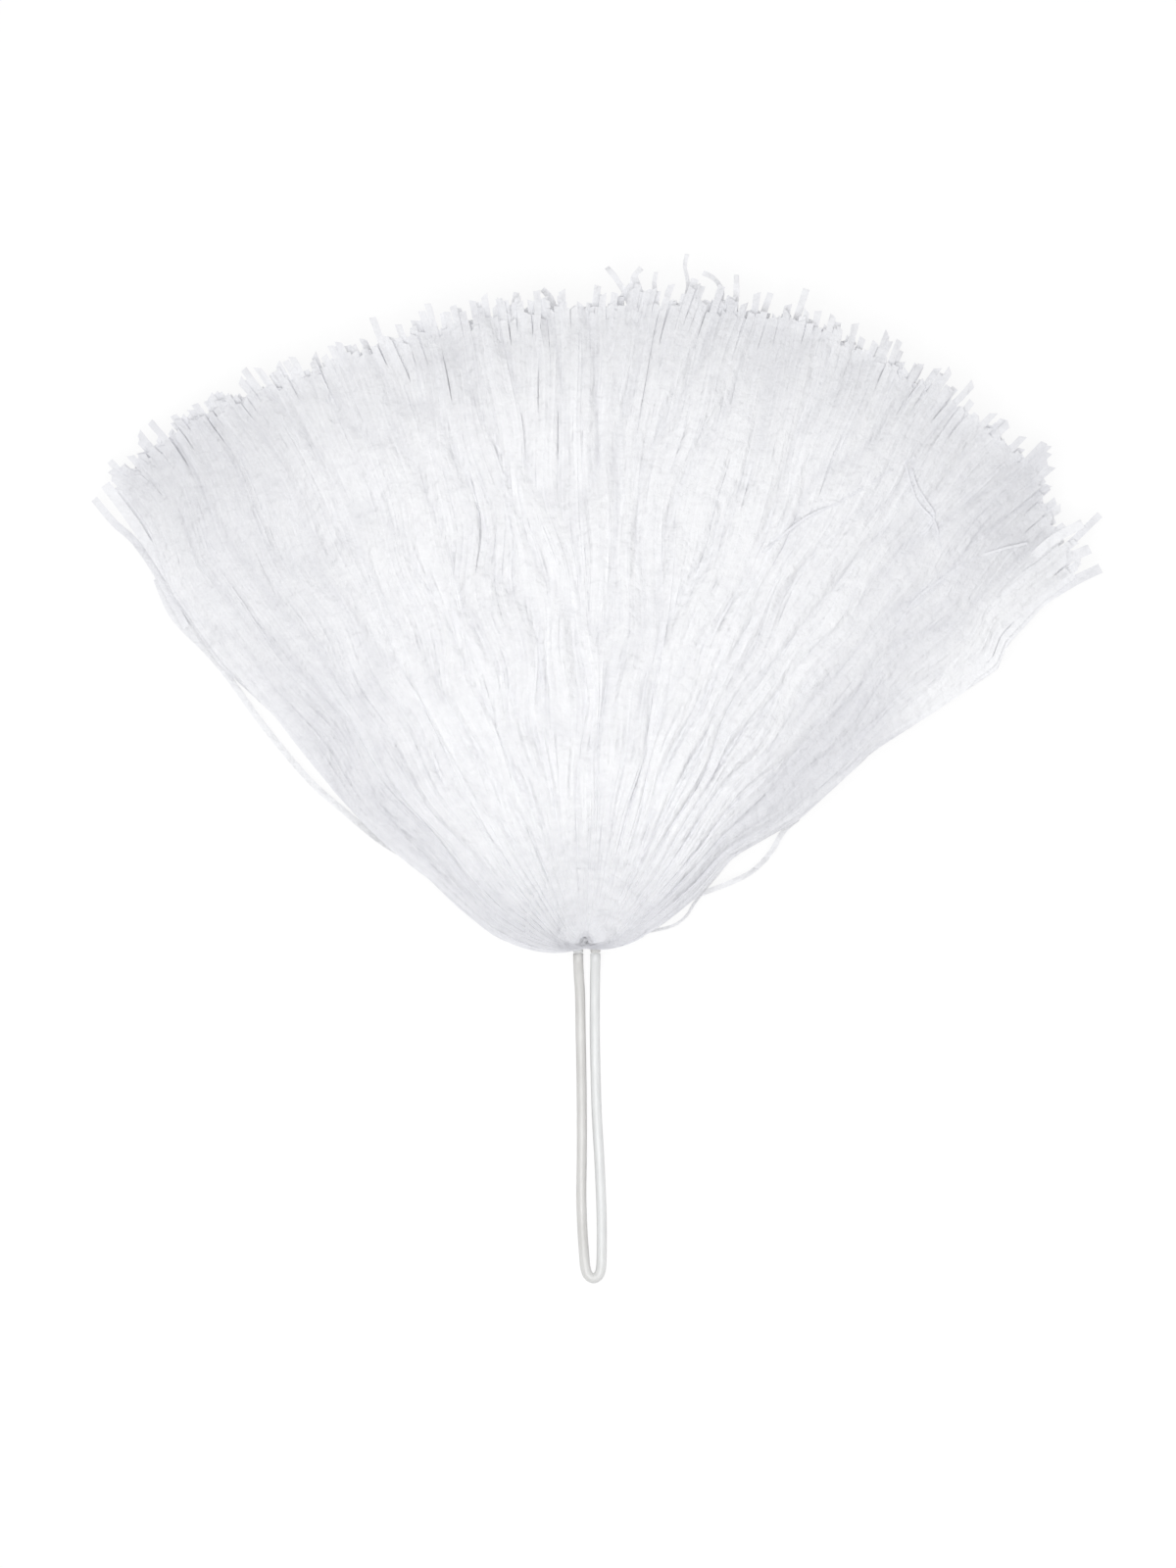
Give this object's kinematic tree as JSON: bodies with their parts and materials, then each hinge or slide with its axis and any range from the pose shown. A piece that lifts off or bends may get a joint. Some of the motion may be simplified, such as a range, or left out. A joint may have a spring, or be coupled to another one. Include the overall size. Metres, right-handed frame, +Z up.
{
  "type": "tissue paper pom pom",
  "caption": "Hand-held pom pom of fringed tissue paper sheets, gathered in the middle, folded over the knotted end of a soft cord loop and fanned out as it lies.",
  "frame": {"origin": "on the surface that the pom pom lies on, under the middle of the tissue head", "axes": "+Z up from the surface, +Y from the neck towards the cut ends of the fringe, +X to the right seen from above with the fringe pointing away"},
  "size_m": [0.3998, 0.3966, 0.0379],
  "materials": {
    "tissue": "matt white tissue paper",
    "loop": "soft milky plastic cord"
  },
  "bodies": {
    "root": {"tissue_sheet_1": "tissue", "tissue_sheet_2": "tissue", "tissue_sheet_3": "tissue", "tissue_sheet_4": "tissue", "tissue_sheet_5": "tissue", "loop_knot": "loop", "hand_loop": "loop"}
  },
  "joints": []
}
